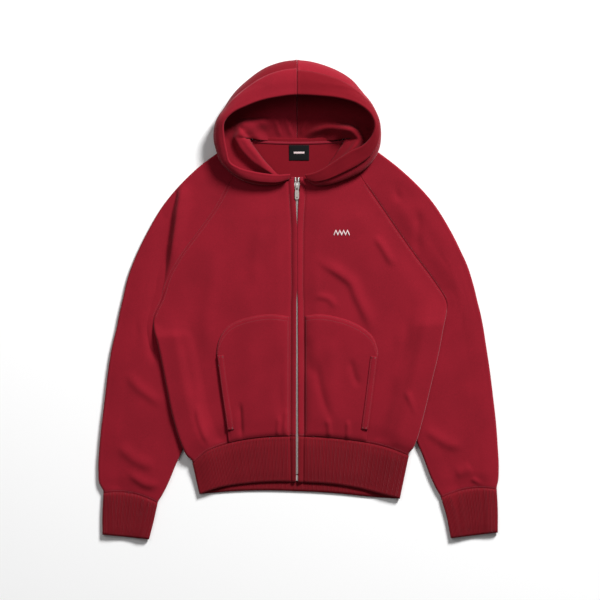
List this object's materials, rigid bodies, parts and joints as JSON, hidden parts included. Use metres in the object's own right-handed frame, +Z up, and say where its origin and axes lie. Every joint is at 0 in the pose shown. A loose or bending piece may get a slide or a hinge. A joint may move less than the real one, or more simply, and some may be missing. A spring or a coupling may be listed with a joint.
{
  "type": "zip up hoodie",
  "caption": "Raglan zip up hoodie in heavy dark red fleece, laid flat on its back with the hood up and the sleeves down, ribbed cuffs and waistband and slanted patch pockets.",
  "frame": {"origin": "on the flat underside of the back panel, under the zip line, 384 mm above the lower edge of the waistband", "axes": "+X to the wearer's left, +Y from the hem to the hood, +Z up from the surface the hoodie lies on, towards its front"},
  "size_m": [0.7808, 0.9337, 0.0533],
  "materials": {
    "fleece": "brushed loopback fleece, matt with a short nap",
    "rib": "one by one rib knit",
    "tape": "woven tape",
    "metal": "nickel zip metal",
    "label": "woven label, blank",
    "thread": "satin embroidery thread"
  },
  "bodies": {
    "root": {"back_panel": "fleece", "front_right": "fleece", "front_left": "fleece", "sleeve_right": "fleece", "sleeve_left": "fleece", "hood_right": "fleece", "hood_left": "fleece", "pocket_right": "fleece", "pocket_left": "fleece", "pocket_welt_right": "fleece", "pocket_welt_left": "fleece", "hem_band": "rib", "cuff_right": "rib", "cuff_left": "rib", "neck_tape": "tape", "zip_tape_right": "tape", "zip_tape_left": "tape", "zip_chain": "metal", "zip_box": "metal", "zip_stop_right": "metal", "zip_stop_left": "metal", "zip_slider": "metal", "neck_label": "label", "chest_motif": "thread"},
    "pull_tab": {"zip_pull_tab": "metal"}
  },
  "joints": [
    {"name": "tab_swing", "type": "hinge", "parent": "root", "child": "pull_tab", "pos_m": [0, 0.22, 0.0099], "axis": [-1, 0, 0], "range_deg": [0, 170]}
  ]
}
